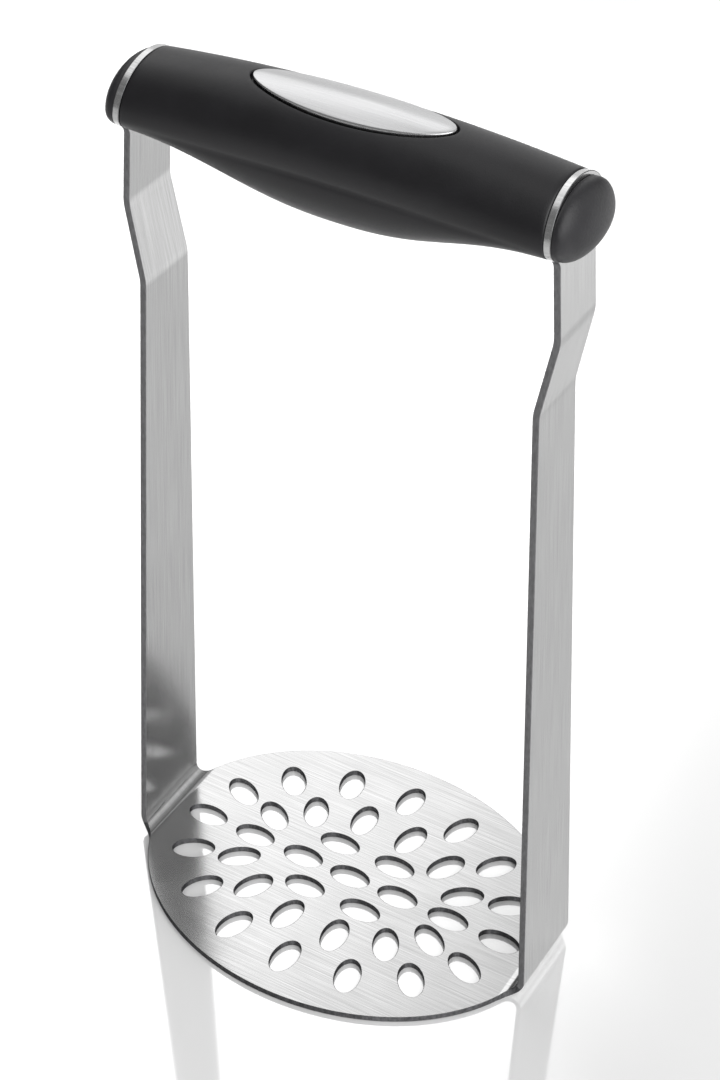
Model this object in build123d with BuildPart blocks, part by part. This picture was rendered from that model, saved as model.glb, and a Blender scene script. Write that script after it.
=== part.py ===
"""Potato masher: an oval perforated plate hung from a crosswise handle by two bent straps.

Millimetres, +Z up. The origin is the middle of the plate's underside, which is the
lowest face of the masher. +X runs along the handle, +Y to the back. Left and right
halves are mirror images across the YZ plane.
"""
from build123d import *
import math
import os

os.makedirs("parts", exist_ok=True)

# ------------------------------------------------------------------ driving dimensions
SHEET = 1.8  # stainless blank, all bends and both discs

PLATE_A = 63.0  # plate half length along X
PLATE_B = 49.3  # plate half width along Y
NECK_R = 4.5  # concave corner between plate rim and strap edge

HOLE_A = 6.25  # half length of every oval hole
HOLE_B = 3.7  # half width of every oval hole
ROW_PITCH = 16.0  # centre to first hole along the X row
MID_PAIR_X = 9.3  # the four inner holes off the X row
MID_PAIR_Y = 10.0
INNER_RING = (35.7, 22.5)  # half axes of the ellipse the middle ring of holes lies on
INNER_ROW_X = 32.75  # the two holes of that ring which lie on the X row
INNER_COUNT = 14
OUTER_RING = (49.4, 35.85)
OUTER_COUNT = 16

STRAP_FOOT_X = 62.65  # inner face of the strap carried down to the plate
BEND_R = 4.0  # inside radius of the bend at the plate
JOGGLE_LOW = (54.45, 194.3)  # inner face, X and height, lower bend of the joggle
JOGGLE_HIGH = (58.5, 215.8)  # the same for the upper bend
JOGGLE_R = 14.0
STRAP_FOOT_HALF = 13.55  # half width of the strap at the plate
TAPER_LEAD = 0.12  # the taper starts this little wider, so it meets the foot above the bend
STRAP_LOW_HALF = 9.45  # at the lower joggle bend
STRAP_HIGH_HALF = 9.0  # at the upper joggle bend
STRAP_TOP_HALF = 8.8  # where the strap runs into its disc
DISC_BLEND_R = 3.0

GRIP_Z = 242.5  # height of the handle's axis
END_LEAN = 4.0  # degrees the discs lean inwards at the top
END_HALF_Y = 13.75  # handle section at its ends
END_UP = 11.4
END_DOWN = 7.0
CROWN = 3.5  # extra height of the top at mid length
BELLY = 9.7  # extra depth of the underside at mid length
SWELL = 0.4  # extra half depth front to back at mid length
BELLY_FULL = 2.45  # how full the belly stays round mid length
BELLY_SHAPE = 2.9  # how sharply the belly gathers towards mid length

SLEEVE_T = 2.4  # soft cover over the hard core
SLEEVE_EDGE = 0.6  # rounding that leaves a dark line against the disc
INSERT_D = 8.0  # threaded inserts in the ends of the core
INSERT_LENGTH = 14.0
INSERT_RECESS = 0.3  # they sit this far below the core's end so the disc clamps the core
SCREW_D = 5.0
SCREW_LENGTH = 12.0  # thread inside the insert
HEAD_D = 9.0
HEAD_H = 2.4
SOCKET_ACROSS = 3.0  # hexagon socket in the screw head
SOCKET_DEPTH = 1.6
WASHER_D = 10.0
WASHER_T = 0.8
FIT = 0.1  # clearance round screws, inserts and pegs

CAP_INSET = 0.1  # the caps are this much smaller than the discs at the sides and below
CAP_TOP_INSET = 1.3  # and this much at the top, where the rim of the disc shows
CAP_RIM = 0.8  # straight rim of a cap
CAP_DOME = 5.2  # dome beyond the rim
CAP_POCKET_D = 10.6  # room for the washer and the screw head
CAP_POCKET = 3.4
PEG_D = 3.0
PEG_Y = 8.9  # the two pegs of each cap, front and back of the screw
PEG_LENGTH = 9.0

BADGE_A = 26.8  # half length of the badge along X
BADGE_B = 7.7  # half width
BADGE_GAP = 0.6  # dark line round the badge
BADGE_T = 1.0
PAD_T = 0.5
BADGE_RISE = 0.25  # the badge stands this far above the grip
PAD_INSET = 1.2

# ---------------------------------------------------------------------- derived values
LEAN = math.radians(END_LEAN)
DISC_X = JOGGLE_HIGH[0] - (GRIP_Z - JOGGLE_HIGH[1]) * math.tan(LEAN)  # disc inner face
BEND_TOP = SHEET + BEND_R
MARGIN = 1.0  # how far construction shapes run past what they trim
FOOT_TOP = 30.0  # below this height the outline seen from above trims the blank
TOP_Z = GRIP_Z + END_UP + MARGIN
RIGHT_END = Plane(origin=(DISC_X, 0, GRIP_Z), x_dir=(0, 1, 0),
                  z_dir=(math.cos(LEAN), 0, math.sin(LEAN)))
LEFT_END = Plane(origin=(-DISC_X, 0, GRIP_Z), x_dir=(0, -1, 0),
                 z_dir=(-math.cos(LEAN), 0, math.sin(LEAN)))
END_PLANES = (RIGHT_END, LEFT_END)
SCREW_RISE = (END_UP - END_DOWN) / 2  # screws go through the middle of the discs
HANDLE_SECTION_PLANE = Plane(origin=(0, 0, GRIP_Z), x_dir=(0, 1, 0), z_dir=(1, 0, 0))
SECTIONS = 6  # handle sections from mid length to beyond one end
SECTION_STEP = 12.0
DOME_LEVELS = 5  # outlines lofted into the dome of a cap
DOME_TURN = math.radians(20)


def handle_section(x, inset=0.0):
    """Half depth, rise and drop of the handle section at x, taken in by inset."""
    along = min(abs(x) / DISC_X, 1.0)
    crown = CROWN * (1 - along**2)
    belly = BELLY * (1 - along**BELLY_FULL) ** BELLY_SHAPE
    swell = SWELL * (1 - along**2)
    return END_HALF_Y + swell - inset, END_UP + crown - inset, END_DOWN + belly - inset


def egg(half_depth, up, down):
    """Closed outline of two half ellipses sharing their widest points."""
    EllipticalCenterArc((0, 0), half_depth, up, start_angle=0, arc_size=180)
    EllipticalCenterArc((0, 0), half_depth, down, start_angle=180, arc_size=180)


def handle_body(inset):
    """Solid handle shape taken in by inset, cut off by the two leaning end planes."""
    with BuildPart() as body:
        for step in range(-SECTIONS + 1, SECTIONS):
            x = step * SECTION_STEP
            with BuildSketch(HANDLE_SECTION_PLANE.offset(x)):
                with BuildLine():
                    egg(*handle_section(x, inset))
                make_face()
        loft()
        for end in END_PLANES:
            split(bisect_by=end, keep=Keep.BOTTOM)
    return body.part


# ------------------------------------------------------------------------- steel blank
def hole_places():
    """Centre and direction of the long axis for every hole of the plate."""
    places = [(0.0, 0.0, 0.0), (ROW_PITCH, 0.0, 0.0), (-ROW_PITCH, 0.0, 0.0)]
    for side_x in (1, -1):
        for side_y in (1, -1):
            places.append((side_x * MID_PAIR_X, side_y * MID_PAIR_Y, 0.0))
    for (half_x, half_y), count in ((INNER_RING, INNER_COUNT), (OUTER_RING, OUTER_COUNT)):
        for index in range(count):
            turn = 2 * math.pi * index / count
            x = half_x * math.cos(turn)
            y = half_y * math.sin(turn)
            if count == INNER_COUNT and index in (0, count // 2):
                x = math.copysign(INNER_ROW_X, x)
            outward = math.atan2(half_x * math.sin(turn), half_y * math.cos(turn))
            places.append((x, y, math.degrees(outward)))
    return places


def seen_from_above():
    """Outline of the oval plate and the foot of each strap; above the feet nothing is cut."""
    with BuildPart() as keep:
        with BuildSketch(Plane.XY) as plan:
            Ellipse(PLATE_A, PLATE_B)
            Rectangle(2 * (STRAP_FOOT_X + 2 * SHEET), 2 * STRAP_FOOT_HALF)
            corners = plan.vertices().filter_by_position(Axis.X, -PLATE_A, PLATE_A)
            fillet(corners.filter_by_position(Axis.Y, -PLATE_B / 2, PLATE_B / 2), NECK_R)
        extrude(amount=FOOT_TOP)
        with BuildSketch(Plane.XY.offset(FOOT_TOP)):
            Rectangle(2 * (STRAP_FOOT_X + 2 * SHEET), 2 * PLATE_B)
        extrude(amount=TOP_Z - FOOT_TOP)
    return keep.part


def seen_along_handle():
    """Outline of the tapering strap with its egg-shaped disc, and the whole plate below."""
    with BuildPart() as keep:
        with BuildSketch(HANDLE_SECTION_PLANE) as front:
            with BuildLine():
                right_side = Polyline(
                    (PLATE_B + MARGIN, -GRIP_Z),
                    (PLATE_B + MARGIN, BEND_TOP - GRIP_Z),
                    (STRAP_FOOT_HALF + TAPER_LEAD, BEND_TOP - GRIP_Z),
                    (STRAP_LOW_HALF, JOGGLE_LOW[1] - GRIP_Z),
                    (STRAP_HIGH_HALF, JOGGLE_HIGH[1] - GRIP_Z),
                    (STRAP_TOP_HALF, 0),
                )
                left_side = mirror(right_side, about=Plane.YZ)
                Line(left_side @ 0, right_side @ 0)
                Line(left_side @ 1, right_side @ 1)
            make_face()
            with BuildLine():
                egg(END_HALF_Y, END_UP, END_DOWN)
            make_face()
            disc_foot = GRIP_Z - END_DOWN
            shoulders = front.vertices().filter_by_position(Axis.Z, disc_foot, GRIP_Z - MARGIN)
            fillet(shoulders, DISC_BLEND_R)
        extrude(amount=STRAP_FOOT_X + 2 * SHEET, both=True)
    return keep.part


plan_shape = seen_from_above()
front_shape = seen_along_handle()

with BuildPart() as masher_frame:
    # the blank bent as one strip: up the left strap, across the plate, up the right strap
    top_x = DISC_X - (TOP_Z - GRIP_Z) * math.tan(LEAN)
    with BuildSketch(Plane.XZ):
        with BuildLine():
            path = Polyline(
                (-top_x, TOP_Z),
                (-JOGGLE_HIGH[0], JOGGLE_HIGH[1]),
                (-JOGGLE_LOW[0], JOGGLE_LOW[1]),
                (-STRAP_FOOT_X, SHEET),
                (STRAP_FOOT_X, SHEET),
                JOGGLE_LOW,
                JOGGLE_HIGH,
                (top_x, TOP_Z),
            )
            foot_bends = path.vertices().filter_by_position(Axis.Y, 0, BEND_TOP)
            fillet(foot_bends, BEND_R)
            joggles = path.vertices().filter_by_position(Axis.Y, JOGGLE_LOW[1], JOGGLE_HIGH[1])
            fillet(joggles, JOGGLE_R)
            offset(amount=SHEET, side=Side.RIGHT)
        make_face()
    extrude(amount=PLATE_B + MARGIN, both=True)
    add(plan_shape, mode=Mode.INTERSECT)
    add(front_shape, mode=Mode.INTERSECT)

    for x, y, outward in hole_places():
        with BuildSketch(Plane.XY):
            with Locations(Location((x, y), outward)):
                Ellipse(HOLE_A, HOLE_B)
        extrude(amount=SHEET, mode=Mode.SUBTRACT)

    for end in END_PLANES:
        with BuildSketch(end):
            with Locations((0, SCREW_RISE)):
                Circle(SCREW_D / 2 + FIT)
            with Locations((-PEG_Y, SCREW_RISE), (PEG_Y, SCREW_RISE)):
                Circle(PEG_D / 2 + FIT)
        extrude(amount=SHEET, mode=Mode.SUBTRACT)
    masher_frame.part.label = "masher_frame"
    export_step(masher_frame.part, "parts/masher_frame.step")


# ------------------------------------------------------------------------ handle pieces
def badge_layer(half_x, half_y, above, below):
    """Oval slice at the middle of the grip's top, inside one handle shape and outside another."""
    with BuildPart() as layer:
        with BuildSketch(Plane.XY.offset(GRIP_Z)):
            Ellipse(half_x, half_y)
        extrude(amount=2 * END_UP)
        add(above, mode=Mode.INTERSECT)
        add(below, mode=Mode.SUBTRACT)
    return layer.part


grip_shape = handle_body(0)
core_shape = handle_body(SLEEVE_T)
badge_top = handle_body(-BADGE_RISE)
badge_floor = handle_body(BADGE_T - BADGE_RISE)
pad_floor = handle_body(BADGE_T - BADGE_RISE + PAD_T)
badge_recess = badge_layer(BADGE_A + BADGE_GAP, BADGE_B + BADGE_GAP, badge_top, pad_floor)
badge_shape = badge_layer(BADGE_A, BADGE_B, badge_top, badge_floor)
pad_shape = badge_layer(BADGE_A - PAD_INSET, BADGE_B - PAD_INSET, badge_floor, pad_floor)

with BuildPart() as grip_core:
    add(core_shape)
    for end in END_PLANES:
        with BuildSketch(end):
            with Locations((0, SCREW_RISE)):
                Circle(INSERT_D / 2)
        extrude(amount=-(INSERT_RECESS + INSERT_LENGTH), mode=Mode.SUBTRACT)
        with BuildSketch(end):
            with Locations((-PEG_Y, SCREW_RISE), (PEG_Y, SCREW_RISE)):
                Circle(PEG_D / 2 + FIT)
        extrude(amount=-PEG_LENGTH, mode=Mode.SUBTRACT)
    grip_core.part.label = "grip_core"
    export_step(grip_core.part, "parts/grip_core.step")

with BuildPart() as grip_sleeve:
    add(grip_shape)
    fillet(grip_sleeve.faces().filter_by(GeomType.PLANE).edges(), SLEEVE_EDGE)
    add(core_shape, mode=Mode.SUBTRACT)
    add(badge_recess, mode=Mode.SUBTRACT)
    grip_sleeve.part.label = "grip_sleeve"
    export_step(grip_sleeve.part, "parts/grip_sleeve.step")

with BuildPart() as badge_pad:
    add(pad_shape)
    badge_pad.part.label = "badge_pad"
    export_step(badge_pad.part, "parts/badge_pad.step")

with BuildPart() as badge_plate:
    add(badge_shape)
    badge_plate.part.label = "badge_plate"
    export_step(badge_plate.part, "parts/badge_plate.step")

with BuildPart() as end_inserts:
    for end in END_PLANES:
        with BuildSketch(end.offset(-INSERT_RECESS)):
            with Locations((0, SCREW_RISE)):
                Circle(INSERT_D / 2)
                Circle(SCREW_D / 2, mode=Mode.SUBTRACT)
        extrude(amount=-INSERT_LENGTH)
    end_inserts.part.label = "end_inserts"
    export_step(end_inserts.part, "parts/end_inserts.step")

with BuildPart() as end_washers:
    for end in END_PLANES:
        with BuildSketch(end.offset(SHEET)):
            with Locations((0, SCREW_RISE)):
                Circle(WASHER_D / 2)
                Circle(SCREW_D / 2 + FIT, mode=Mode.SUBTRACT)
        extrude(amount=WASHER_T)
    end_washers.part.label = "end_washers"
    export_step(end_washers.part, "parts/end_washers.step")

with BuildPart() as end_screws:
    for end in END_PLANES:
        under_head = end.offset(SHEET + WASHER_T)
        with BuildSketch(under_head):
            with Locations((0, SCREW_RISE)):
                Circle(SCREW_D / 2)
        extrude(amount=-(SHEET + WASHER_T + SCREW_LENGTH))
        with BuildSketch(under_head):
            with Locations((0, SCREW_RISE)):
                Circle(HEAD_D / 2)
        extrude(amount=HEAD_H)
        with BuildSketch(under_head.offset(HEAD_H)):
            with Locations((0, SCREW_RISE)):
                RegularPolygon(SOCKET_ACROSS / 2, 6, major_radius=False)
        extrude(amount=-SOCKET_DEPTH, mode=Mode.SUBTRACT)
    end_screws.part.label = "end_screws"
    export_step(end_screws.part, "parts/end_screws.step")


# ----------------------------------------------------------------------------- end caps
def end_cap(end):
    """Domed cap on one disc, with a pocket for the screw head and two pegs."""
    half_depth = END_HALF_Y - CAP_INSET
    rise = END_UP - CAP_TOP_INSET
    drop = END_DOWN - CAP_INSET
    seat = end.offset(SHEET)
    with BuildPart() as cap:
        with BuildSketch(seat):
            with BuildLine():
                egg(half_depth, rise, drop)
            make_face()
        extrude(amount=CAP_RIM)
        for level in range(DOME_LEVELS):
            turn = level * DOME_TURN
            size = math.cos(turn)
            with BuildSketch(seat.offset(CAP_RIM + CAP_DOME * math.sin(turn))):
                with BuildLine():
                    egg(half_depth * size, rise * size, drop * size)
                make_face()
        loft()
        with BuildSketch(seat):
            with Locations((0, SCREW_RISE)):
                Circle(CAP_POCKET_D / 2)
        extrude(amount=CAP_POCKET, mode=Mode.SUBTRACT)
        with BuildSketch(seat):
            with Locations((-PEG_Y, SCREW_RISE), (PEG_Y, SCREW_RISE)):
                Circle(PEG_D / 2)
        extrude(amount=-(SHEET + PEG_LENGTH - 2 * FIT))
    return cap.part


for end, side in zip(END_PLANES, ("right", "left")):
    piece = end_cap(end)
    piece.label = side + "_end_cap"
    export_step(piece, "parts/" + piece.label + ".step")
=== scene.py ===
"""Looks of the potato masher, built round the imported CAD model.

The frame is in metres, +Z up, +X along the handle, +Y to the back, with the origin in the
middle of the plate's underside. Sizes below are in millimetres, and MM turns them into metres.
"""
import math

import bmesh
import bpy
from mathutils import Matrix, Vector


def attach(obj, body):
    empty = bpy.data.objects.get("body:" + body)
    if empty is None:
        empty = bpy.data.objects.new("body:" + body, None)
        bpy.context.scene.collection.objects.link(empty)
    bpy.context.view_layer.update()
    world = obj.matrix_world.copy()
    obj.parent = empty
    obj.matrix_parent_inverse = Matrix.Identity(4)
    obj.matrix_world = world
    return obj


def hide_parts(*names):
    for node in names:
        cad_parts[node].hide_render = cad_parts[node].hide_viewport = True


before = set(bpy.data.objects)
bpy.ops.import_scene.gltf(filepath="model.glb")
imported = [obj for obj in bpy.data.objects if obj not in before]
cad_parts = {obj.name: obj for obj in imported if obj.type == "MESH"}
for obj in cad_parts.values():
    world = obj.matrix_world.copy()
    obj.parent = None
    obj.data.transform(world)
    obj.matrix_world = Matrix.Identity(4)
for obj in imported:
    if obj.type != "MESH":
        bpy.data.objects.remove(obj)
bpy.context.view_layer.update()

MM = 0.001

# ---------------------------------------------------------------------- sizes of the steel
SHEET = 1.8
EDGE_ROUND = 0.16  # the tumbled edges of the blank and its holes
PLATE_A = 63.0
PLATE_B = 49.3
NECK_R = 4.5
HOLE_A = 6.25
HOLE_B = 3.7
ROW_PITCH = 16.0
MID_PAIR_X = 9.3
MID_PAIR_Y = 10.0
INNER_RING = (35.7, 22.5)
INNER_ROW_X = 32.75
INNER_COUNT = 14
OUTER_RING = (49.4, 35.85)
OUTER_COUNT = 16
STRAP_FOOT_X = 62.65
BEND_R = 4.0
JOGGLE_LOW = (54.45, 194.3)  # corners of the strap's inner face, as distance out and height
JOGGLE_HIGH = (58.5, 215.8)
JOGGLE_R = 14.0
DISC_BLEND_R = 3.0

# --------------------------------------------------------------------- sizes of the handle
GRIP_Z = 242.5
LEAN = math.radians(4.0)
END_HALF_Y = 13.75
END_UP = 11.4
END_DOWN = 7.0
CROWN = 3.5
BELLY = 9.7
SWELL = 0.4
BELLY_FULL = 2.45
BELLY_SHAPE = 2.9
WIDEST_RISE = 2.2  # height of the widest line of the grip's upper body at mid length
UNDERCURL = 10.0  # half height of the curve that runs from there under to the crease
CREASE_DROP = 0.9  # the crease where the belly starts, below the handle axis
CREASE_TURN = math.radians(15)
BELLY_WIDEST = 2.6  # the belly's widest line, below the handle axis
BELLY_SHOULDER = 8.0  # half height of the curve from the crease out to that line
SHOULDER_TURN = math.radians(22.5)
SLEEVE_T = 2.4
SLEEVE_EDGE = 0.6
SCREW_RISE = (END_UP - END_DOWN) / 2
SCREW_HOLE_R = 2.6
PEG_HOLE_R = 1.6
PEG_Y = 8.9
CAP_INSET = 0.1
CAP_TOP_INSET = 1.3
CAP_RIM = 0.8
CAP_DOME = 5.1
CAP_EDGE = 0.25
CAP_POCKET_R = 5.3
CAP_POCKET = 3.4
BADGE_A = 26.8
BADGE_B = 7.7
BADGE_GAP = 0.6
BADGE_T = 1.0
BADGE_RISE = 0.25
BADGE_EDGE = 0.3
PAD_T = 0.5
RECESS_LIP = 0.4

DISC_X = JOGGLE_HIGH[0] - (GRIP_Z - JOGGLE_HIGH[1]) * math.tan(LEAN)
TOP_Z = GRIP_Z + END_UP + 1.0  # just above the discs, where the runs of the sheet end
# Each pair is a height and the strap's half width there.
STRAP_HALF_WIDTHS = ((SHEET + BEND_R, 13.67), (JOGGLE_LOW[1], 9.45), (JOGGLE_HIGH[1], 9.0),
                     (GRIP_Z, 8.8))

# ----------------------------------------------------------------------- mesh resolution
RING_POINTS = 96  # round the handle and the caps
GRIP_STATIONS = 96  # along the grip, end to end
BORE_STRIDE = 8  # the bore needs only every eighth station
RECESS_BLENDS = 7  # rings of quads from the badge's recess out to the plain grip
PATCH_MARGIN = 6.0  # how far that patch reaches beyond the badge's ends
PATCH_SHARE = 0.62  # how much of each upper quarter of the section it takes up
BADGE_POINTS = 128
BADGE_RINGS = 16
DOME_STEPS = 24
ROUND_STEPS = 4
RIM_STEPS = 90
DISC_STEPS = 80
STRAP_STEPS = 240
PEG_POINTS = 24
MERGE = 1e-3  # points closer than this are one point
CUT = 1e-4  # points closer than this to a cut lie on it
FLAT_FACE = 0.98  # normals steeper than this belong to the flat sides of the blank
UPRIGHT_FACE = 0.1  # normals flatter than this belong to its cut edge
CREASE_FOLD = math.radians(50)  # folds sharper than this keep a sharp edge
BEND_STRIP = math.radians(5)  # a bend turns about this much in one strip
FEWEST_STRIPS = 6


# ===================================================================== bending the blank
def bend_runs():
    """Runs of the sheet's inner face from mid plate to the top of the right disc.

    Each run has its start, its heading, its curvature and its length. Flat runs have no
    curvature, and the arcs between them are the foot bend and the two joggle bends.
    """
    top_x = DISC_X - (TOP_Z - GRIP_Z) * math.tan(LEAN)
    corners = [(0.0, SHEET), (STRAP_FOOT_X, SHEET), JOGGLE_LOW, JOGGLE_HIGH, (top_x, TOP_Z)]
    corners = [Vector(corner) for corner in corners]
    headings = [math.atan2(b.y - a.y, b.x - a.x) for a, b in zip(corners, corners[1:])]
    runs = []
    start, lead = corners[0], 0.0
    for index, radius in enumerate((BEND_R, JOGGLE_R, JOGGLE_R)):
        corner = corners[index + 1]
        heading, turn = headings[index], headings[index + 1] - headings[index]
        cut = radius * math.tan(abs(turn) / 2)
        runs.append((start, heading, 0.0, (corner - corners[index]).length - lead - cut))
        start = corner - (corner - corners[index]).normalized() * cut
        runs.append((start, heading, math.copysign(1 / radius, turn), radius * abs(turn)))
        start = corner + (corners[index + 2] - corner).normalized() * cut
        lead = cut
    runs.append((start, headings[-1], 0.0, (corners[-1] - corners[-2]).length - lead))
    return runs


RUNS = bend_runs()
BLANK_TOP = sum(run[3] for run in RUNS)
BLANK_AXIS = BLANK_TOP - (TOP_Z - GRIP_Z) / math.cos(LEAN)  # handle axis on the flat blank
RING_SHARE = 0.74  # how far the bright edge goes down the disc's lower half
DISC_EDGE = BLANK_AXIS - RING_SHARE * END_DOWN  # beyond this the edge is a ring of the handle


def on_sheet(along):
    """Point (x, z) and heading of the inner face at that distance from mid plate."""
    for start, heading, curvature, length in RUNS:
        if along <= length:
            break
        along -= length
    if curvature:
        turned = heading + curvature * along
        x = start.x + (math.sin(turned) - math.sin(heading)) / curvature
        z = start.y + (math.cos(heading) - math.cos(turned)) / curvature
        return x, z, turned
    return start.x + along * math.cos(heading), start.y + along * math.sin(heading), heading


def bend_point(flat, normal):
    """A point of the flat blank and its normal, carried to the bent frame."""
    side = math.copysign(1.0, flat.x)
    x, z, heading = on_sheet(abs(flat.x))
    along = Vector((math.cos(heading), 0, math.sin(heading)))
    through = Vector((math.sin(heading), 0, -math.cos(heading)))
    point = Vector((x, flat.y, z)) + through * (SHEET / 2 - flat.z)
    turned = along * (normal.x * side) + Vector((0, normal.y, 0)) - through * normal.z
    return Vector((point.x * side, point.y, point.z)), Vector((turned.x * side, turned.y, turned.z))


# ================================================================== outline of the blank
def strap_half_width(along):
    """Half width of the strap, which tapers with its height."""
    z = on_sheet(along)[1]
    for (low_z, low), (high_z, high) in zip(STRAP_HALF_WIDTHS, STRAP_HALF_WIDTHS[1:]):
        if z <= high_z:
            share = max(0.0, (z - low_z) / (high_z - low_z))
            return low + (high - low) * share
    return STRAP_HALF_WIDTHS[-1][1]


def rounded_corner(first, second, radius, steps=8):
    """Two lines of points that meet at a corner, joined by a round of that radius."""
    corner = first[-1]
    turn = (corner - first[-2]).angle(second[1] - corner)
    cut = radius * math.tan(turn / 2)
    before = [p for p in first if (p - corner).length > cut]
    after = [p for p in second if (p - corner).length > cut]
    leave, arrive = (corner - before[-1]).normalized(), (after[0] - corner).normalized()
    begin = before[-1] + leave * ((before[-1] - corner).length - cut)
    end = after[0] - arrive * ((after[0] - corner).length - cut)
    leave = (before[-1] - before[-2]).normalized()
    arrive = (after[1] - after[0]).normalized()
    reach = 4 / 3 * math.tan(turn / 4) * radius
    pull, push = begin + leave * reach, end - arrive * reach
    bow = []
    for step in range(steps + 1):
        t = step / steps
        bow.append(begin * (1 - t) ** 3 + pull * (3 * t * (1 - t) ** 2)
                   + push * (3 * t * t * (1 - t)) + end * t**3)
    return before + bow + after


def outline_quarter():
    """Outline of the flat blank from the middle of the plate's back to the disc's top."""
    plate_end = math.asin(strap_half_width(STRAP_FOOT_X) / PLATE_B)
    rim = []
    for step in range(RIM_STEPS + 1):
        turn = math.pi / 2 + (plate_end - math.pi / 2) * step / RIM_STEPS
        rim.append(Vector((PLATE_A * math.cos(turn), PLATE_B * math.sin(turn))))
    disc_start = math.acos(strap_half_width(BLANK_AXIS) / END_HALF_Y)
    disc = []
    for step in range(DISC_STEPS + 1):
        turn = -disc_start + (math.pi / 2 + disc_start) * step / DISC_STEPS
        reach = (END_UP if turn > 0 else END_DOWN) / math.cos(LEAN)
        disc.append(Vector((BLANK_AXIS + reach * math.sin(turn), END_HALF_Y * math.cos(turn))))
    strap = [rim[-1]]
    for step in range(1, STRAP_STEPS):
        along = rim[-1].x + (disc[0].x - rim[-1].x) * step / STRAP_STEPS
        strap.append(Vector((along, strap_half_width(along))))
    strap.append(disc[0])
    neck = rounded_corner(rim, strap, NECK_R)
    keep = neck.index(strap[-2]) + 1
    return rounded_corner(neck[:keep] + [disc[0]], disc, DISC_BLEND_R)


def blank_outline():
    """Closed outline of the whole blank, mirrored from one quarter."""
    quarter = outline_quarter()
    right = quarter + [Vector((p.x, -p.y)) for p in reversed(quarter[:-1])]
    left = [Vector((-p.x, p.y)) for p in reversed(right[1:-1])]
    return right + left


def oval(centre_x, centre_y, half_long, half_short, turn=0.0, points=44):
    """Closed outline of an oval hole."""
    spin = Matrix.Rotation(turn, 2)
    centre = Vector((centre_x, centre_y))
    ring = []
    for step in range(points):
        t = 2 * math.pi * step / points
        ring.append(centre + spin @ Vector((half_long * math.cos(t), half_short * math.sin(t))))
    return ring


def plate_holes():
    """The oval holes: seven in the middle, then a ring of 14 and a ring of 16."""
    holes = [oval(0, 0, HOLE_A, HOLE_B)]
    for side_x in (1, -1):
        holes.append(oval(side_x * ROW_PITCH, 0, HOLE_A, HOLE_B))
        for side_y in (1, -1):
            holes.append(oval(side_x * MID_PAIR_X, side_y * MID_PAIR_Y, HOLE_A, HOLE_B))
    for (half_x, half_y), count in ((INNER_RING, INNER_COUNT), (OUTER_RING, OUTER_COUNT)):
        for index in range(count):
            turn = 2 * math.pi * index / count
            x, y = half_x * math.cos(turn), half_y * math.sin(turn)
            if count == INNER_COUNT and index in (0, count // 2):
                x = math.copysign(INNER_ROW_X, x)
            outward = math.atan2(half_x * math.sin(turn), half_y * math.cos(turn))
            holes.append(oval(x, y, HOLE_A, HOLE_B, outward))
    return holes


def disc_holes():
    """Screw and peg holes of both discs on the flat blank."""
    holes = []
    for side in (1, -1):
        height = side * (BLANK_AXIS + SCREW_RISE)
        holes.append(oval(height, 0, SCREW_HOLE_R, SCREW_HOLE_R))
        for peg in (PEG_Y, -PEG_Y):
            holes.append(oval(height, peg, PEG_HOLE_R, PEG_HOLE_R, points=PEG_POINTS))
    return holes


def flat_blank():
    """Mesh of the flat blank with rounded edges, as a filled outline with thickness."""
    curve = bpy.data.curves.new("blank_outline", "CURVE")
    curve.dimensions = "2D"
    curve.fill_mode = "BOTH"
    curve.extrude = SHEET / 2 - EDGE_ROUND
    curve.bevel_depth = EDGE_ROUND
    curve.bevel_resolution = 2
    curve.offset = -EDGE_ROUND
    for ring in [blank_outline()] + plate_holes() + disc_holes():
        spline = curve.splines.new("POLY")
        spline.points.add(len(ring) - 1)
        for point, place in zip(spline.points, ring):
            point.co = (place.x, place.y, 0, 1)
        spline.use_cyclic_u = True
    holder = bpy.data.objects.new("blank_outline", curve)
    bpy.context.scene.collection.objects.link(holder)
    bpy.context.view_layer.update()
    depsgraph = bpy.context.evaluated_depsgraph_get()
    mesh = bpy.data.meshes.new_from_object(holder.evaluated_get(depsgraph))
    bpy.data.objects.remove(holder)
    bpy.data.curves.remove(curve)
    return mesh


def bend_stations():
    """Distances along the blank where it is cut into strips so that it can bend."""
    stations = []
    along = 0.0
    for start, heading, curvature, length in RUNS:
        if curvature:
            strips = max(FEWEST_STRIPS, round(length * abs(curvature) / BEND_STRIP))
            stations += [along + length * step / strips for step in range(strips + 1)]
        along += length
    return stations


def blank_normal(vert):
    """Normal at a point of the flat blank, smooth over its rounded edges."""
    sideways = Vector((0, 0, 0))
    for face in vert.link_faces:
        if abs(face.normal.z) < FLAT_FACE:
            sideways += Vector((face.normal.x, face.normal.y, 0))
    rise = (abs(vert.co.z) - (SHEET / 2 - EDGE_ROUND)) / EDGE_ROUND
    rise = max(0.0, min(1.0, rise)) if sideways.length > 0 else 1.0
    normal = sideways.normalized() * math.sqrt(1 - rise * rise)
    normal.z = math.copysign(rise, vert.co.z)
    return normal.normalized()


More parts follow.
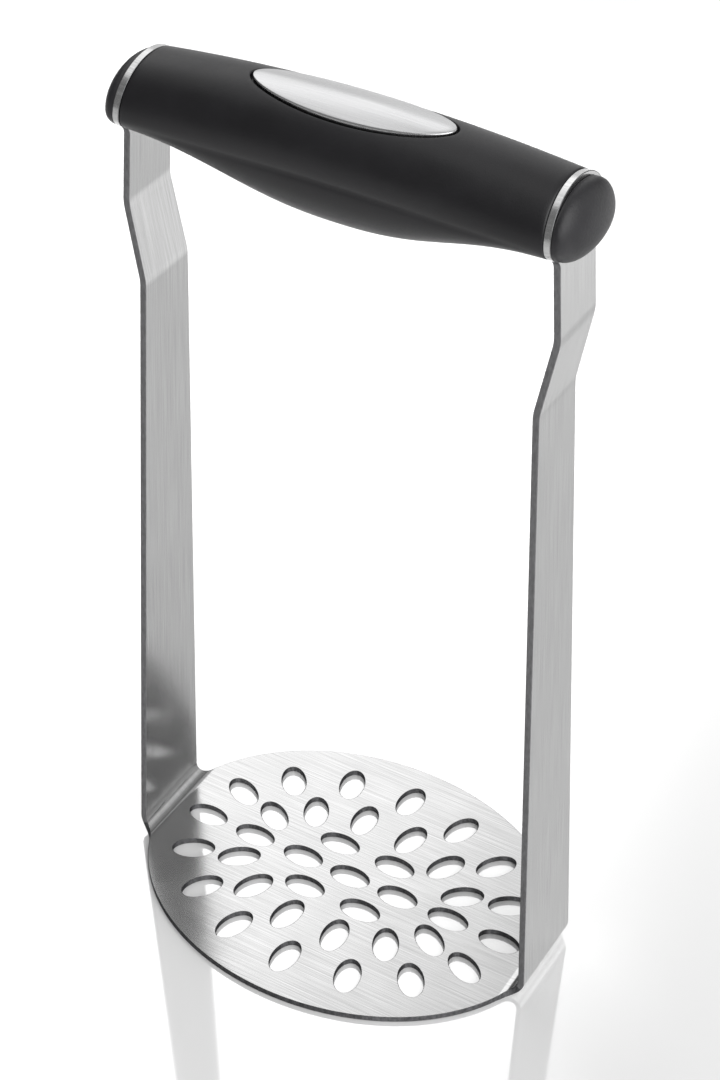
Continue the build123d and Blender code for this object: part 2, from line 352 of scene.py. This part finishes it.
def build_frame():
    """The bent steel frame: plate, straps and discs from one blank."""
    mesh = flat_blank()
    bm = bmesh.new()
    bm.from_mesh(mesh)
    bmesh.ops.remove_doubles(bm, verts=bm.verts, dist=MERGE)
    for station in bend_stations():
        for side in (1, -1):
            geom = bm.verts[:] + bm.edges[:] + bm.faces[:]
            bmesh.ops.bisect_plane(bm, geom=geom, dist=CUT, plane_co=(side * station, 0, 0),
                                   plane_no=(1, 0, 0))
    bm.normal_update()
    grain = bm.loops.layers.uv.new("grain")
    for face in bm.faces:
        face.smooth = True
        place = abs(face.calc_center_median().x)
        on_ring = place > DISC_EDGE and abs(face.normal.z) < UPRIGHT_FACE
        if abs(face.normal.z) > FLAT_FACE or on_ring:
            face.material_index = FRAME_FINISHES.index(brushed_steel)
        # The plate's cut edges, hole walls and rim, get the darker copy that carries painted shade;
        # the straps' edges get the lighter one.
        elif place < STRAP_FOOT_X:
            face.material_index = FRAME_FINISHES.index(cut_steel_painted_shade)
        else:
            face.material_index = FRAME_FINISHES.index(strap_edge_steel)
        for loop in face.loops:
            loop[grain].uv = (loop.vert.co.x * MM, loop.vert.co.y * MM)
    places, normals = [], []
    for vert in bm.verts:
        place, turned = bend_point(vert.co, blank_normal(vert))
        places.append(place * MM)
        normals.append(turned)
    for vert, place in zip(bm.verts, places):
        vert.co = place
    bm.to_mesh(mesh)
    bm.free()
    mesh.normals_split_custom_set_from_vertices(normals)
    return add_piece("steel_frame", mesh, ["masher_frame"],
                     FRAME_FINISHES)


# ====================================================================== handle surfaces
def handle_section(x, inset=0.0):
    """Half depth, rise and drop of the handle section at x, taken in by inset."""
    along = min(abs(x) / DISC_X, 1.0)
    crown = CROWN * (1 - along**2)
    belly = BELLY * (1 - along**BELLY_FULL) ** BELLY_SHAPE
    swell = SWELL * (1 - along**2)
    return END_HALF_Y + swell - inset, END_UP + crown - inset, END_DOWN + belly - inset


def egg_point(turn, half_depth, up, down):
    """Point of an egg-shaped outline at that turn."""
    rise = up if math.sin(turn) > 0 else down
    return half_depth * math.cos(turn), rise * math.sin(turn)


def belly_share(down):
    """How far the belly has grown, from none at the ends to full at mid length."""
    return math.sqrt(max(0.0, down - END_DOWN) / BELLY)


def creased_point(turn, half_depth, up, down):
    """Point of the grip's outline: an upper body that curls under to a crease, and a belly."""
    y, z = egg_point(turn, half_depth, up, down)
    share = belly_share(down)
    curl_end = math.asin((WIDEST_RISE + CREASE_DROP) / UNDERCURL)
    below = math.asin(max(-1.0, min(1.0, -math.sin(turn))))
    if below <= 0:
        full_y = half_depth * math.cos(turn)
        full_z = WIDEST_RISE + (up - WIDEST_RISE) * math.sin(turn)
    elif below <= CREASE_TURN:
        curl = below / CREASE_TURN * curl_end
        full_y = math.copysign(half_depth * math.cos(curl), y)
        full_z = WIDEST_RISE - UNDERCURL * math.sin(curl)
    else:
        shoulder = math.asin((BELLY_WIDEST - CREASE_DROP) / BELLY_SHOULDER)
        belly_half = half_depth * math.cos(curl_end) / math.cos(shoulder)
        if below <= SHOULDER_TURN:
            rise = shoulder * (SHOULDER_TURN - below) / (SHOULDER_TURN - CREASE_TURN)
            full_y = math.copysign(belly_half * math.cos(rise), y)
            full_z = -BELLY_WIDEST + BELLY_SHOULDER * math.sin(rise)
        else:
            fall = (below - SHOULDER_TURN) / (math.pi / 2 - SHOULDER_TURN) * math.pi / 2
            full_y = math.copysign(belly_half * math.cos(fall), y)
            full_z = -BELLY_WIDEST - (down - BELLY_WIDEST) * math.sin(fall)
    return y + (full_y - y) * share, z + (full_z - z) * share


def handle_ring(x, inset=0.0, back=0.0):
    """Ring of points round the handle; rings lean more and more towards the end discs.

    Only the outer skin has the crease: rings that are taken in keep the plain egg shape.
    """
    outline = egg_point if inset else creased_point
    ring = []
    for step in range(RING_POINTS):
        turn = 2 * math.pi * step / RING_POINTS
        real_x = x
        for _ in range(2):
            y, z = outline(turn, *handle_section(real_x, inset))
            end_x = DISC_X - z * math.tan(LEAN)
            real_x = x / DISC_X * end_x - math.copysign(back / math.cos(LEAN), x)
        ring.append(Vector((real_x, y, GRIP_Z + z)))
    return ring


def handle_top(x, y, inset=0.0):
    """Point of the handle's upper surface above x, y, with the surface taken in by inset."""
    half_depth, up, down = handle_section(x, inset)
    rise = math.sqrt(max(0.0, 1 - (y / half_depth) ** 2))
    widest = WIDEST_RISE * belly_share(down + inset)
    return Vector((x, y, GRIP_Z + widest + (up - widest) * rise))


# ========================================================================= mesh helpers
class Skin:
    """Rings of points joined by quads into one mesh, in millimetres until it is made."""

    def __init__(self):
        self.bm = bmesh.new()

    def ring(self, points):
        return [self.bm.verts.new(p) for p in points]

    def join(self, first, second):
        count = len(first)
        for k in range(count):
            n = (k + 1) % count
            self.bm.faces.new((first[k], first[n], second[n], second[k]))

    def chain(self, rings):
        made = [self.ring(points) for points in rings]
        for first, second in zip(made, made[1:]):
            self.join(first, second)
        return made

    def close(self, ring, point):
        tip = self.bm.verts.new(point)
        for k in range(len(ring)):
            self.bm.faces.new((ring[k], ring[(k + 1) % len(ring)], tip))

    def mesh(self, name, uv_axes=(0, 1)):
        bm = self.bm
        bmesh.ops.recalc_face_normals(bm, faces=bm.faces[:])
        grain = bm.loops.layers.uv.new("grain")
        for face in bm.faces:
            face.smooth = True
            for loop in face.loops:
                place = loop.vert.co * MM
                loop[grain].uv = (place[uv_axes[0]], place[uv_axes[1]])
        for edge in bm.edges:
            if len(edge.link_faces) == 2 and edge.calc_face_angle(0) > CREASE_FOLD:
                edge.smooth = False
        bmesh.ops.scale(bm, vec=(MM, MM, MM), verts=bm.verts[:])
        made = bpy.data.meshes.new(name)
        bm.to_mesh(made)
        bm.free()
        return made


def add_piece(name, mesh, nodes, materials):
    """Links a finished mesh as a visible piece that stands for those CAD nodes."""
    piece = bpy.data.objects.new(name, mesh)
    bpy.context.scene.collection.objects.link(piece)
    for material in materials:
        mesh.materials.append(material)
    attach(piece, "root")
    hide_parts(*nodes)
    return piece


def quarter_turns(steps=ROUND_STEPS):
    return [math.pi / 2 * step / steps for step in range(steps + 1)]


# ============================================================================ the sleeve
def build_sleeve():
    """Soft cover of the grip: a hollow tube with rounded ends and the badge's recess."""
    skin = Skin()
    reach = DISC_X - SLEEVE_EDGE
    stations = [reach * (2 * step / GRIP_STATIONS - 1) for step in range(GRIP_STATIONS + 1)]
    tube = [skin.ring(handle_ring(x)) for x in stations]

    # the block of quads round the badge is left open, and filled again by rings
    quarter = RING_POINTS // 4
    half_block_j = round(quarter * PATCH_SHARE)
    first_j, last_j = quarter - half_block_j, quarter + half_block_j
    first_i = min(i for i, x in enumerate(stations) if x > -(BADGE_A + PATCH_MARGIN))
    last_i = GRIP_STATIONS - first_i
    for i in range(GRIP_STATIONS):
        for j in range(RING_POINTS):
            if first_i <= i < last_i and first_j <= j < last_j:
                continue
            n = (j + 1) % RING_POINTS
            skin.bm.faces.new((tube[i][j], tube[i][n], tube[i + 1][n], tube[i + 1][j]))
    around = [tube[i][first_j] for i in range(first_i, last_i)]
    around += [tube[last_i][j] for j in range(first_j, last_j)]
    around += [tube[i][last_j] for i in range(last_i, first_i, -1)]
    around += [tube[first_i][j] for j in range(last_j, first_j, -1)]
    half_x, half_y = stations[last_i], tube[GRIP_STATIONS // 2][first_j].co.y
    turns = [math.atan2(v.co.y / half_y, v.co.x / half_x) for v in around]

    def recess_ring(grow, depth, share=1.0):
        points = []
        for turn in turns:
            x = (BADGE_A + BADGE_GAP + grow) * math.cos(turn) * share
            y = (BADGE_B + BADGE_GAP + grow) * math.sin(turn) * share
            points.append(handle_top(x, y, depth))
        return points

    lip = recess_ring(RECESS_LIP, 0)
    rings = [around]
    for step in range(1, RECESS_BLENDS):
        share = step / RECESS_BLENDS
        points = []
        for vert, end in zip(around, lip):
            plan = vert.co.lerp(end, share)
            points.append(handle_top(plan.x, plan.y))
        rings.append(skin.ring(points))
    for turn in quarter_turns():
        grow = RECESS_LIP * (1 - math.sin(turn))
        rings.append(skin.ring(recess_ring(grow, RECESS_LIP * (1 - math.cos(turn)))))
    floor = BADGE_T - BADGE_RISE + PAD_T
    for share in (1.0, 0.8, 0.6, 0.4, 0.2):
        rings.append(skin.ring(recess_ring(0, floor, share)))
    for first, second in zip(rings, rings[1:]):
        skin.join(first, second)
    skin.close(rings[-1], handle_top(0, 0, floor))

    # rounded ends, flat end faces and the bore over the core
    ends = []
    for side, outer in ((1, tube[-1]), (-1, tube[0])):
        rings = [outer]
        for turn in quarter_turns()[1:]:
            inset = SLEEVE_EDGE * (1 - math.cos(turn))
            back = SLEEVE_EDGE * (1 - math.sin(turn))
            rings.append(skin.ring(handle_ring(side * DISC_X, inset, back)))
        rings.append(skin.ring(handle_ring(side * DISC_X, SLEEVE_T)))
        for first, second in zip(rings, rings[1:]):
            skin.join(first, second)
        ends.append(rings[-1])
    bore = [skin.ring(handle_ring(x, SLEEVE_T)) for x in stations[::BORE_STRIDE]]
    for first, second in zip([ends[1]] + bore, bore + [ends[0]]):
        skin.join(first, second)
    mesh = skin.mesh("grip_cover")
    return add_piece("grip_cover", mesh, ["grip_sleeve"], [soft_grip])


# ============================================================================= the badge
def build_badge():
    """Crowned oval badge with a rounded edge."""
    skin = Skin()

    def ring(grow, depth, share=1.0):
        made = []
        for step in range(BADGE_POINTS):
            turn = 2 * math.pi * step / BADGE_POINTS
            x = (BADGE_A + grow) * math.cos(turn) * share
            y = (BADGE_B + grow) * math.sin(turn) * share
            made.append(handle_top(x, y, depth - BADGE_RISE))
        return made

    rings = [ring(-BADGE_EDGE, 0, step / BADGE_RINGS) for step in range(1, BADGE_RINGS)]
    for turn in quarter_turns(5):
        grow = -BADGE_EDGE * (1 - math.sin(turn))
        rings.append(ring(grow, BADGE_EDGE * (1 - math.cos(turn))))
    rings += [ring(0, BADGE_T), ring(0, BADGE_T, 0.5)]
    made = skin.chain(rings)
    skin.close(made[0], handle_top(0, 0, -BADGE_RISE))
    skin.close(made[-1], handle_top(0, 0, BADGE_T - BADGE_RISE))
    mesh = skin.mesh("oval_badge")
    return add_piece("oval_badge", mesh, ["badge_plate"], [badge_metal])


# ============================================================================== the caps
def build_cap(side, name):
    """Domed cap on one disc, with the pocket over the screw head."""
    skin = Skin()
    half_depth = END_HALF_Y - CAP_INSET
    rise = END_UP - CAP_TOP_INSET
    drop = END_DOWN - CAP_INSET
    outward = Vector((side * math.cos(LEAN), 0, math.sin(LEAN)))
    upward = Vector((-side * math.sin(LEAN), 0, math.cos(LEAN)))
    seat = Vector((side * DISC_X, 0, GRIP_Z)) + outward * SHEET

    def place(y, up, out):
        return seat + Vector((0, y, 0)) + upward * up + outward * out

    def egg_ring(out, size=1.0, inset=0.0):
        ring = []
        for step in range(RING_POINTS):
            turn = 2 * math.pi * step / RING_POINTS
            dims = [d * size - inset for d in (half_depth, rise, drop)]
            y, up = egg_point(turn, *dims)
            ring.append(place(y, up, out))
        return ring

    def pocket_ring(out, radius):
        ring = []
        for step in range(RING_POINTS):
            turn = 2 * math.pi * step / RING_POINTS
            ring.append(place(radius * math.cos(turn), SCREW_RISE + radius * math.sin(turn), out))
        return ring

    rings = [pocket_ring(CAP_POCKET, CAP_POCKET_R / 2), pocket_ring(CAP_POCKET, CAP_POCKET_R),
             pocket_ring(0, CAP_POCKET_R)]
    for turn in quarter_turns(3):
        inset = CAP_EDGE * (1 - math.sin(turn))
        rings.append(egg_ring(CAP_EDGE * (1 - math.cos(turn)), inset=inset))
    for step in range(DOME_STEPS):
        turn = math.pi / 2 * step / DOME_STEPS
        rings.append(egg_ring(CAP_RIM + CAP_DOME * math.sin(turn), math.cos(turn)))
    made = skin.chain(rings)
    skin.close(made[0], place(0, SCREW_RISE, CAP_POCKET))
    skin.close(made[-1], place(0, 0, CAP_RIM + CAP_DOME))
    mesh = skin.mesh(name, uv_axes=(1, 2))
    return add_piece(name, mesh, [name.replace("_dome", "_end_cap")],
                     [cap_plastic])


# ============================================================================= materials
class Finish:
    """One procedural material: a Principled shader and the nodes that drive it."""

    def __init__(self, name, base, roughness, metallic=0.0, **sockets):
        self.material = bpy.data.materials.new(name)
        self.material.use_nodes = True
        self.tree = self.material.node_tree
        self.shader = self.tree.nodes["Principled BSDF"]
        self.shader.inputs["Base Color"].default_value = (*base, 1)
        self.shader.inputs["Roughness"].default_value = roughness
        self.shader.inputs["Metallic"].default_value = metallic
        for socket, value in sockets.items():
            self.shader.inputs[socket.replace("_", " ")].default_value = value

    def node(self, kind, inputs=(), **settings):
        made = self.tree.nodes.new(kind)
        for key, value in settings.items():
            setattr(made, key, value)
        for key, value in dict(inputs).items():
            if isinstance(value, bpy.types.NodeSocket):
                self.tree.links.new(value, made.inputs[key])
            else:
                made.inputs[key].default_value = value
        return made

    def place(self, scale, uv=False):
        """Coordinates in metres, stretched by scale, from the grain map or the object."""
        if uv:
            source = self.node("ShaderNodeUVMap", uv_map="grain").outputs["UV"]
        else:
            source = self.node("ShaderNodeTexCoord").outputs["Object"]
        return self.node("ShaderNodeMapping", {"Vector": source, "Scale": scale}).outputs[0]

    def noise(self, place, scale=1.0, detail=2.0, roughness=0.5, distortion=0.0):
        inputs = {"Vector": place, "Scale": scale, "Detail": detail, "Roughness": roughness,
                  "Distortion": distortion}
        return self.node("ShaderNodeTexNoise", inputs).outputs["Fac"]

    def remap(self, value, low, high, from_low=0.3, from_high=0.7):
        inputs = {"Value": value, "From Min": from_low, "From Max": from_high,
                  "To Min": low, "To Max": high}
        return self.node("ShaderNodeMapRange", inputs).outputs["Result"]

    def math(self, operation, first, second):
        made = self.node("ShaderNodeMath", operation=operation)
        for socket, value in zip(made.inputs, (first, second)):
            if isinstance(value, bpy.types.NodeSocket):
                self.tree.links.new(value, socket)
            else:
                socket.default_value = value
        return made.outputs[0]

    def blend(self, share, first, second):
        made = self.node("ShaderNodeMix", {"Factor": share}, data_type="RGBA")
        colours = {"A": (*first, 1), "B": (*second, 1)}
        for socket in made.inputs:
            if socket.type == "RGBA":
                socket.default_value = colours[socket.name]
        return next(socket for socket in made.outputs if socket.type == "RGBA")

    def bump(self, height, distance, strength=1.0):
        inputs = {"Height": height, "Distance": distance, "Strength": strength}
        made = self.node("ShaderNodeBump", inputs)
        self.feed("Normal", made.outputs["Normal"])

    def feed(self, socket, value):
        self.tree.links.new(value, self.shader.inputs[socket])


FINE_SHARE = 0.6  # share of the fine streaks in the brushing; the broad ones make up the rest
BROAD_LONG = 0.5  # how closely the broad streaks follow each other along the grain, fine = 1
BROAD_WIDE = 0.3  # the same across the grain
STREAK_DEPTH = 1.6e-6  # metres


def make_brushed(name, base, dark_base, roughness, streak_long, streak_wide, anisotropy=0.55):
    """Sheet brushed along its length: long fine streaks, with the gloss drawn out across them."""
    finish = Finish(name, base, roughness, 1.0, Anisotropic=anisotropy, Anisotropic_Rotation=0.25)
    fine = finish.noise(finish.place((1 / streak_long, 1 / streak_wide, 1), uv=True), detail=3)
    broad_scale = (BROAD_LONG / streak_long, BROAD_WIDE / streak_wide, 1)
    broad = finish.noise(finish.place(broad_scale, uv=True), detail=2)
    cloud = finish.noise(finish.place((60, 60, 60)), detail=3)
    streaks = finish.math("ADD", finish.math("MULTIPLY", fine, FINE_SHARE),
                          finish.math("MULTIPLY", broad, 1 - FINE_SHARE))
    finish.feed("Base Color", finish.blend(finish.remap(streaks, 0, 1, 0.38, 0.62),
                                           dark_base, base))
    rough = finish.math("ADD", finish.remap(streaks, roughness + 0.03, roughness - 0.03),
                        finish.remap(cloud, -0.025, 0.025))
    finish.feed("Roughness", rough)
    finish.bump(streaks, STREAK_DEPTH)
    tangent = finish.node("ShaderNodeTangent", direction_type="UV_MAP", uv_map="grain")
    finish.feed("Tangent", tangent.outputs[0])
    return finish.material


def make_cut_steel(name, base, light_base):
    """Punched and tumbled edges of the sheet, with faint marks through the thickness. Their
    darkness is partly the duller cut metal and partly painted shade.
    """
    finish = Finish(name, base, 0.42, 1.0, Specular_Tint=(0.35, 0.35, 0.35, 1))
    marks = finish.noise(finish.place((1600, 1600, 500)), detail=4, roughness=0.6)
    finish.feed("Base Color", finish.blend(finish.remap(marks, 0, 1), base, light_base))
    finish.feed("Roughness", finish.remap(marks, 0.48, 0.36))
    finish.bump(marks, 1.5e-5)
    return finish.material


def make_soft_touch(name, base, light_base, roughness, grain, depth):
    """Soft-touch coated plastic: fine matte grain over faint cloudy unevenness."""
    finish = Finish(name, base, roughness, 0.0, Specular_IOR_Level=0.45)
    fine = finish.noise(finish.place((grain, grain, grain)), detail=4, roughness=0.65)
    cloud = finish.noise(finish.place((90, 90, 90)), detail=3)
    finish.feed("Base Color", finish.blend(finish.remap(cloud, 0, 1), base, light_base))
    rough = finish.math("ADD", finish.remap(fine, roughness - 0.05, roughness + 0.05),
                        finish.remap(cloud, -0.03, 0.03))
    finish.feed("Roughness", rough)
    finish.bump(fine, depth)
    return finish.material


def make_plain_metal(name, base, dark_base, roughness):
    """Turned fasteners: fine rings of tool marks and a slightly uneven tone."""
    finish = Finish(name, base, roughness, 1.0)
    marks = finish.noise(finish.place((4000, 400, 400)), detail=2)
    finish.feed("Base Color", finish.blend(finish.remap(marks, 0, 1), dark_base, base))
    finish.feed("Roughness", finish.remap(marks, roughness + 0.06, roughness - 0.04))
    finish.bump(marks, 5e-6)
    return finish.material


def make_foam():
    """Adhesive foam behind the badge: open pores."""
    finish = Finish("adhesive_foam", (0.035, 0.035, 0.035), 0.85)
    pores = finish.node("ShaderNodeTexVoronoi",
                        {"Vector": finish.place((3500, 3500, 3500)), "Scale": 1.0})
    share = finish.remap(pores.outputs["Distance"], 0, 1, 0.1, 0.8)
    finish.feed("Base Color", finish.blend(share, (0.012, 0.012, 0.012), (0.06, 0.06, 0.06)))
    finish.bump(pores.outputs["Distance"], 6e-5)
    return finish.material


brushed_steel = make_brushed("brushed_steel", (0.66, 0.66, 0.66), (0.50, 0.50, 0.50), 0.20,
                             0.020, 0.00013, 0.6)
badge_metal = make_brushed("badge_metal", (0.58, 0.58, 0.585), (0.53, 0.53, 0.535), 0.26,
                           0.020, 0.00015, 0.4)
# Two copies of the cut edge: the plate's copy is much darker, with painted shade for the hole walls
# and the rim; the straps' edges get the lighter copy.
cut_steel_painted_shade = make_cut_steel("cut_steel_painted_shade", (0.055, 0.055, 0.057), (0.13, 0.13, 0.135))
strap_edge_steel = make_cut_steel("strap_edge_steel", (0.15, 0.15, 0.153), (0.22, 0.22, 0.225))
FRAME_FINISHES = [brushed_steel, cut_steel_painted_shade, strap_edge_steel]
soft_grip = make_soft_touch("soft_grip", (0.0045, 0.0042, 0.0054), (0.0075, 0.0071, 0.0088),
                            0.42, 2600, 2.5e-5)
cap_plastic = make_soft_touch("cap_plastic", (0.008, 0.0077, 0.0093), (0.016, 0.0155, 0.018),
                              0.44, 1500, 8e-5)
core_plastic = make_soft_touch("core_plastic", (0.06, 0.06, 0.062), (0.08, 0.08, 0.082), 0.55,
                               1500, 4e-5)
adhesive_foam = make_foam()
fastener_steel = make_plain_metal("fastener_steel", (0.60, 0.60, 0.61), (0.48, 0.48, 0.49), 0.28)
insert_brass = make_plain_metal("insert_brass", (0.74, 0.55, 0.27), (0.60, 0.43, 0.20), 0.30)

build_frame()
build_sleeve()
build_badge()
build_cap(1, "right_dome")
build_cap(-1, "left_dome")

NODE_FINISHES = {
    "grip_core": ("core_plastic", core_plastic),
    "badge_pad": ("adhesive_foam", adhesive_foam),
    "end_screws": ("fastener_steel", fastener_steel),
    "end_washers": ("fastener_steel", fastener_steel),
    "end_inserts": ("insert_brass", insert_brass),
}
for node, (slot, material) in NODE_FINISHES.items():
    for material_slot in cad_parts[node].material_slots:
        material_slot.material = material


# ================================================================================= stage
FLOOR_HALF = 4.0  # metres
FLOOR_GAP = 0.0001  # keeps the table top clear of the plate's underside


def build_floor():
    """Glossy white table top, much wider than the object."""
    bm = bmesh.new()
    bmesh.ops.create_grid(bm, x_segments=8, y_segments=8, size=FLOOR_HALF)
    mesh = bpy.data.meshes.new("table_top")
    bm.to_mesh(mesh)
    bm.free()
    finish = Finish("white_acrylic", (0.97, 0.97, 0.97), 0.06, 0.38)
    cloud = finish.noise(finish.place((3, 3, 3)), detail=2)
    finish.feed("Base Color", finish.blend(finish.remap(cloud, 0, 1), (0.96, 0.96, 0.96),
                                           (0.98, 0.98, 0.98)))
    mesh.materials.append(finish.material)
    floor = bpy.data.objects.new("table_top", mesh)
    floor.location.z = -FLOOR_GAP
    bpy.context.scene.collection.objects.link(floor)


def direction(azimuth, elevation):
    """Unit vector; azimuth is degrees to the right of straight back (+Y)."""
    a, e = math.radians(azimuth), math.radians(elevation)
    return Vector((math.sin(a) * math.cos(e), math.cos(a) * math.cos(e), math.sin(e)))


WORLD_BASE = 0.1  # strength of the grey surround
# Each lobe is (azimuth, elevation, full-strength half angle, outer half angle, strength).
WORLD_LOBES = (
    (-46, 38, 13, 23, 1.5),
    (-8, 28, 8, 24, 0.9),
    (-12, 56, 6, 15, 0.35),
    (40, 42, 8, 22, 0.12),
    (36, 14, 8, 24, 1.0),
    (-28, 4, 8, 22, 0.8),
    (-83, 66, 8, 24, 1.1),
    (80, 8, 10, 28, 0.7),
    (118, 46, 20, 48, 2.9),
    (-150, 30, 15, 45, 0.15),
)


def build_world():
    """Soft studio light: a dim grey surround with soft-edged bright areas added to it."""
    world = bpy.data.worlds.new("studio")
    world.use_nodes = True
    tree = world.node_tree
    coords = tree.nodes.new("ShaderNodeTexCoord")
    total = None
    for azimuth, elevation, inner, outer, strength in WORLD_LOBES:
        dot = tree.nodes.new("ShaderNodeVectorMath")
        dot.operation = "DOT_PRODUCT"
        tree.links.new(coords.outputs["Generated"], dot.inputs[0])
        dot.inputs[1].default_value = direction(azimuth, elevation)
        ramp = tree.nodes.new("ShaderNodeMapRange")
        ramp.interpolation_type = "SMOOTHERSTEP"
        tree.links.new(dot.outputs["Value"], ramp.inputs["Value"])
        ramp.inputs["From Min"].default_value = math.cos(math.radians(outer))
        ramp.inputs["From Max"].default_value = math.cos(math.radians(inner))
        ramp.inputs["To Min"].default_value = 0.0
        ramp.inputs["To Max"].default_value = strength
        add = tree.nodes.new("ShaderNodeMath")
        add.operation = "ADD"
        tree.links.new(ramp.outputs["Result"], add.inputs[0])
        if total is None:
            add.inputs[1].default_value = WORLD_BASE
        else:
            tree.links.new(total, add.inputs[1])
        total = add.outputs[0]
    background = tree.nodes["Background"]
    tree.links.new(total, background.inputs["Strength"])
    background.inputs["Color"].default_value = (1, 1, 1, 1)
    bpy.context.scene.world = world


# The camera stands to the front right of the masher and looks down at it. Its place is in
# metres, its turns are in degrees, and its lens and sensor are in millimetres.
CAMERA_AT = (0.25838, -0.43688, 0.53517)
CAMERA_AZIMUTH = 30.347
CAMERA_TILT = 51.26
CAMERA_ROLL = 0.401
CAMERA_LENS = 83.17
CAMERA_SENSOR = 36.0


def build_camera():
    camera = bpy.data.cameras.new("camera")
    camera.sensor_fit = "VERTICAL"
    camera.sensor_height = CAMERA_SENSOR
    camera.lens = CAMERA_LENS
    camera.clip_start = 0.01
    camera.clip_end = 50
    holder = bpy.data.objects.new("camera", camera)
    turn = Matrix.Rotation(math.radians(CAMERA_AZIMUTH), 4, "Z")
    turn = turn @ Matrix.Rotation(math.radians(CAMERA_TILT), 4, "X")
    turn = turn @ Matrix.Rotation(math.radians(CAMERA_ROLL), 4, "Z")
    holder.matrix_world = Matrix.Translation(CAMERA_AT) @ turn
    bpy.context.scene.collection.objects.link(holder)
    bpy.context.scene.camera = holder


build_floor()
build_world()
build_camera()
bpy.context.scene.view_settings.view_transform = "Standard"

bpy.context.view_layer.update()
